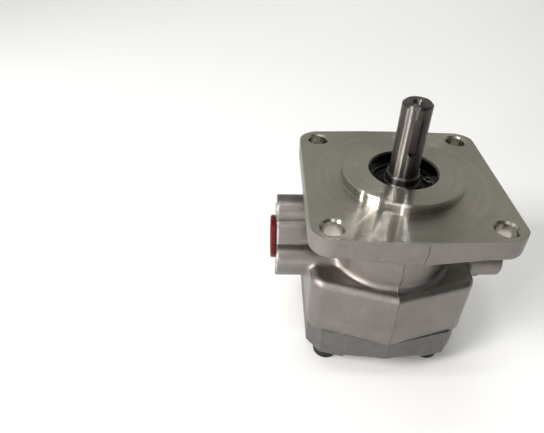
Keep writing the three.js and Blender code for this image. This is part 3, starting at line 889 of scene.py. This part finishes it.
def build_washer(number, x, y, turn):
    """Split spring washer: a flat rectangular coil with its ends cut on a slant."""
    (inner, outer), low, high = WASHER_R, WASHER_LOW, WASHER_HIGH
    ease = 0.18
    section = [(inner + ease, low), (outer - ease, low), (outer, low + ease), (outer, high - ease),
               (outer - ease, high), (inner + ease, high), (inner, high - ease), (inner, low + ease)]
    gap, steps = 0.16, 84
    rings = []
    for k in range(steps + 1):
        ring = []
        for r, z in section:
            slant = 0.10 * ((z - low) / (high - low) - 0.5)
            a = turn + gap / 2 + slant + (2 * math.pi - gap) * k / steps
            ring.append((x + r * math.cos(a), y + r * math.sin(a), z))
        rings.append(ring)
    return make_object(f"lock_washer_{number}_steel", *loft(rings), BLACK)


def build_shaft():
    """Drive shaft and gear in one piece, with a collar, closed keyway, end chamfer and centre drilling."""
    journal, collar, end, shoulder, step = 8.5, 7.6, 6.4, 98.5, 102.0
    low = SHAFT_LOW.z
    core = lathe(rounded_profile([
        (0, low), (journal - 0.6, low), (journal, low + 0.6), (journal, shoulder - 0.5), (journal - 0.5, shoulder),
        (collar, shoulder), (collar, step - 0.4), (collar - 0.4, step), (end, step, 0.35), (end, Z_TIP - 0.9),
        (end - 0.9, Z_TIP), (2.5, Z_TIP), (1.25, Z_TIP - 2.0), (1.25, Z_TIP - 4), (0, Z_TIP - 4.7)]), segments=128)
    shaft = make_object("drive_shaft_steel", *core, STEEL)
    teeth, pitch_r, tip_r, root_r = 10, 12.5, 14.8, 9.6
    pressure = math.radians(28)
    base_r = pitch_r * math.cos(pressure)

    def involute(a):
        return math.tan(a) - a

    at_pitch = math.pi / 2 / teeth - 0.15 / pitch_r

    def half_angle(r):
        return at_pitch + involute(pressure) - involute(math.acos(min(1.0, base_r / r)))

    radii = [root_r] + [base_r + (tip_r - 0.1 - base_r) * k / 9 for k in range(10)]
    flank = [(r, half_angle(max(r, base_r))) for r in radii]
    points = []
    for tooth in range(teeth):
        a = math.pi / 2 + 2 * math.pi * tooth / teeth
        for r, h in flank + [(tip_r, flank[-1][1] - 0.012)]:
            points.append((r * math.cos(a - h), r * math.sin(a - h)))
        for r, h in [(tip_r, flank[-1][1] - 0.012)] + flank[::-1]:
            points.append((r * math.cos(a + h), r * math.sin(a + h)))
    boolean(shaft, make_object("gear", *loft([[(u, v, z) for u, v in points] for z in (43.05, 62.95)]), STEEL),
            "UNION")
    half, (key_low, key_high), steps = KEYWAY_HALF, KEYWAY_Z, 16
    slot = []
    for start, centre in ((0, key_high - half), (math.pi, key_low + half)):
        for k in range(steps + 1):
            a = start + math.pi * k / steps
            slot.append((half * math.cos(a), centre + half * math.sin(a)))
    cos, sin = math.cos(KEYWAY_TURN), math.sin(KEYWAY_TURN)
    rings = [[(depth * cos - w * sin, depth * sin + w * cos, z) for w, z in slot]
             for depth in (end - KEYWAY_DEPTH, end + 3)]
    boolean(shaft, make_object("keyway", *loft(rings), KEYWAY))
    shade(shaft, 30)
    return shaft


def build_seal():
    """Lip seal pressed in the bore: rubber-covered case, dust lip and moulded ring on its face."""
    profile = [(14.9, 88.1), (14.9, 94.6, 0.5), (14.0, 95.0, 0.3), (13.2, 94.5, 0.3), (11.6, 94.5, 0.3),
               (11.0, 95.0, 0.2), (9.6, 95.0, 0.4), (8.62, 94.2, 0.1), (9.3, 93, 0.4), (8.62, 90.3, 0.1),
               (9.3, 89.2, 0.2), (10, 89.6, 0.2), (9.7, 90.3), (10.4, 92.6, 0.2), (13.4, 92.6, 0.2), (13.4, 88.1)]
    return make_object("shaft_seal_rubber", *lathe(rounded_profile(profile), segments=112), RUBBER)


def build_ring():
    """Internal retaining ring: tapering band with two eyes for pliers."""
    outer, eye_at, hole_at = 15.7, 12.9, 12.6
    low, high = 96.1, 97.3
    directions = [(math.cos(a), math.sin(a)) for a in (RING_TURN - EYE_TURN, RING_TURN + EYE_TURN)]

    def field(x, y, z):
        r = np.hypot(x, y)
        turn = np.arctan2(y, x) - RING_TURN
        a = np.abs(np.arctan2(np.sin(turn), np.cos(turn)))
        band = np.maximum(r - outer, (13.75 - 0.55 * np.clip((a - 1) / 2, 0, 1)) - r)
        band = np.maximum(band, (0.40 - a) * 14.0)
        for cos, sin in directions:
            band = blend(band, np.maximum(disc(x, y, eye_at * cos, eye_at * sin, 2.45), r - outer), 0.8)
        for cos, sin in directions:
            band = np.maximum(band, -disc(x, y, hole_at * cos, hole_at * sin, 1.0))
        return slab(band, z, low, high, 0.15)

    span = ticks(-16.2, 16.2, RING_GRID)
    return casting("retaining_ring_steel", field, span, span, ticks(low - 0.3, high + 0.35, RING_GRID), SHADED_SPRING)


def build_plug(name, side):
    """Push-in port plug: a hollow cup with a thin collar and a slight lead on its nose."""
    profile = [(0, 4.5), (7.4, 4.5, 0.6), (7.4, -1, 0.3), (8.4, -2, 0.4), (10.6, -2, 0.3), (11.2, -1.4, 0.3),
               (11.2, 0.6, 0.3), (9.35, 0.6, 0.2), (9.3, 2.4), (9.1, 2.8, 0.1), (9.25, 3.2, 0.1), (9.15, 5.4),
               (8.95, 5.8, 0.1), (9.1, 6.2, 0.1), (8.9, 11, 0.3), (8.2, 12, 0.3), (7.2, 12, 0.3), (7.2, 6, 0.4),
               (0, 6)]
    v, f = lathe(rounded_profile(profile), segments=80)
    v = turned_to_x(v, -side, side * (PORT_FACE + 0.9), MID_Y, PORT_Z)
    return make_object(name, *outward(v, f), SHADOWED_PLUG)


def place(piece, body, slot, *nodes):
    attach(piece, body)
    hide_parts(*nodes)


place(build_body(), "housing", "cast_body", "body")
place(build_cover(), "housing", "cast_cover", "rear_cover")
for n, ((bolt_x, bolt_y), split) in enumerate(zip(BOLTS, WASHER_TURNS), start=1):
    place(build_screw(n, bolt_x, bolt_y), "housing", "black_steel", f"cover_screw_{n}")
    place(build_washer(n, bolt_x, bolt_y, split), "housing", "black_steel", f"lock_washer_{n}")
place(build_shaft(), "drive_shaft", "ground_steel", "drive_gear_shaft")
place(build_seal(), "housing", "seal_rubber", "shaft_seal")
place(build_ring(), "housing", "spring_steel", "seal_retaining_ring")
place(build_plug("outlet_plug_plastic", -1), "outlet_plug", "plug_plastic", "outlet_port_plug")
place(build_plug("inlet_plug_plastic", 1), "inlet_plug", "plug_plastic", "inlet_port_plug")

# The inner pieces keep their CAD meshes.
CARRIED = {
    "driven_gear_shaft": STEEL, "rear_bearing_block": BLOCK, "front_bearing_block": BLOCK,
    "rear_block_seal": RUBBER, "front_block_seal": RUBBER, "cover_seal": RUBBER,
    "rear_bush_drive": BRONZE, "rear_bush_driven": BRONZE, "front_bush_drive": BRONZE, "front_bush_driven": BRONZE,
    "seal_garter_spring": SHADED_SPRING, "dowel_pin_1": STEEL, "dowel_pin_2": STEEL,
}
for node, material in CARRIED.items():
    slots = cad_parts[node].data.materials
    slots.clear()
    slots.append(material)


# =====================================================================================
# Floor, light and camera
# =====================================================================================
FLOOR_HALF = 6000
# In metres from here on. Lamps above the pump, each drawing one streak on the turned flange: x, width, watts, tint.
LAMPS = [(-0.33, 0.020, 0.12, (0.94, 0.97, 1)), (-0.145, 0.016, 0.34, (0.94, 0.97, 1)),
         (-0.104, 0.004, 0.16, (1, 1, 1)), (-0.066, 0.004, 0.16, (1, 1, 1)), (0.07, 0.014, 0.30, (0.90, 0.94, 1))]
LAMP_Y, LAMP_Z, LAMP_DEPTH = -0.12, 0.70, 0.06
# Upright strips round the front, each drawing a line down the shaft: x, y, width, watts.
STRIPS = [(-0.80, -0.16, 0.03, 2.2), (-0.60, -0.53, 0.03, 2.6), (-0.10, -0.80, 0.02, 1.0)]
STRIP_Z, STRIP_HEIGHT = 0.18, 0.40
WARM = (1, 0.99, 0.96)
# Camera fitted to the photograph: where it is, where it looks and its right-hand side.
CAMERA_AT = (-0.0635, -0.1877, 0.2238)
CAMERA_LOOK = (0.0222, 0.7842, -0.6202)
CAMERA_RIGHT = (0.9997, -0.0106, 0.0223)
CAMERA_LENS = 33.15


def build_floor():
    """Pale floor under the screw heads, on which the pump stands."""
    s = Shader("studio_floor", Metallic=0.0, Specular_IOR_Level=0.2)
    tone = s.noise(400, 2, 0.5)
    material = s.finish(Base_Color=s.mix(tone, (0.80, 0.80, 0.79, 1), (0.84, 0.84, 0.83, 1)), Roughness=0.75)
    corners = [(sx * FLOOR_HALF, sy * FLOOR_HALF, HEAD_TOP) for sx, sy in ((-1, -1), (1, -1), (1, 1), (-1, 1))]
    make_object("studio_floor", corners, [(0, 1, 2, 3)], material)


def area_light(name, place_at, size_x, size_y, power, colour, target=(0, 0, 0.06)):
    data = bpy.data.lights.new(name, "AREA")
    data.shape = "ELLIPSE"
    data.size, data.size_y = size_x, size_y
    data.energy = power
    data.color = colour
    lamp = bpy.data.objects.new(name, data)
    bpy.context.scene.collection.objects.link(lamp)
    lamp.location = place_at
    lamp.rotation_euler = (Vector(target) - Vector(place_at)).to_track_quat("-Z", "Y").to_euler()
    return lamp


def build_studio():
    """A soft room, lighter at the left and behind, with lamps for the streaks and the floor."""
    world = bpy.data.worlds.new("studio")
    bpy.context.scene.world = world
    world.use_nodes = True
    tree = world.node_tree
    direction = tree.nodes.new("ShaderNodeTexCoord").outputs["Generated"]
    split = tree.nodes.new("ShaderNodeSeparateXYZ")
    tree.links.new(direction, split.inputs[0])

    def gradient(value, low, high, colour_low, colour_high):
        """From one colour to the other as value goes from low to high."""
        span = tree.nodes.new("ShaderNodeMapRange")
        tree.links.new(value, span.inputs["Value"])
        span.inputs["From Min"].default_value = low
        span.inputs["From Max"].default_value = high
        tint = tree.nodes.new("ShaderNodeMix")
        tint.data_type = "RGBA"
        tree.links.new(span.outputs[0], tint.inputs[0])
        for socket, colour in ((tint.inputs[6], colour_low), (tint.inputs[7], colour_high)):
            if isinstance(colour, bpy.types.NodeSocket):
                tree.links.new(colour, socket)
            else:
                socket.default_value = colour
        return tint.outputs[2]

    back = gradient(split.outputs[0], -0.9, 0.9, (0.68, 0.68, 0.64, 1), (0.52, 0.51, 0.46, 1))
    front = gradient(split.outputs[0], -0.9, 0.9, (0.42, 0.40, 0.38, 1), (0.06, 0.057, 0.05, 1))
    room = gradient(split.outputs[1], -0.3, 0.3, front, back)
    room = gradient(split.outputs[2], 0.72, 0.96, room, (0.27, 0.265, 0.255, 1))
    background = tree.nodes["Background"]
    tree.links.new(room, background.inputs["Color"])
    background.inputs["Strength"].default_value = 0.8
    for n, (x, width, watts, tint) in enumerate(LAMPS, start=1):
        area_light(f"lamp_{n}", (x, LAMP_Y, LAMP_Z), width, LAMP_DEPTH, watts, tint)
    for n, (x, y, width, watts) in enumerate(STRIPS, start=1):
        area_light(f"strip_{n}", (x, y, STRIP_Z), width, STRIP_HEIGHT, watts, WARM, (0, 0, 0.1))
    area_light("floor_left", (-0.68, -0.36, 0.64), 0.30, 0.30, 7.5, (1, 0.99, 0.97), (-0.28, -0.14, 0))
    area_light("front_top", (-0.12, -0.80, 0.80), 0.5, 0.5, 1.5, (1, 0.97, 0.95), (0, 0, 0.06))
    # Lights the floor behind the pump and stays out of the reflections in its flange.
    floor_back = area_light("floor_back", (0.15, 0.95, 1.0), 0.8, 0.8, 6.5, (1, 1, 0.99), (0.15, 0.75, 0))
    floor_back.visible_glossy = False
    bpy.context.scene.view_settings.view_transform = "Standard"


def build_camera():
    look = Vector(CAMERA_LOOK).normalized()
    right = Vector(CAMERA_RIGHT)
    right = (right - look * right.dot(look)).normalized()
    up = right.cross(look)
    data = bpy.data.cameras.new("camera")
    data.sensor_width = 36
    data.lens = CAMERA_LENS
    data.clip_start = 0.01
    camera = bpy.data.objects.new("camera", data)
    bpy.context.scene.collection.objects.link(camera)
    camera.matrix_world = Matrix.Translation(CAMERA_AT) @ Matrix((right, up, -look)).transposed().to_4x4()
    bpy.context.scene.camera = camera


build_floor()
build_studio()
build_camera()
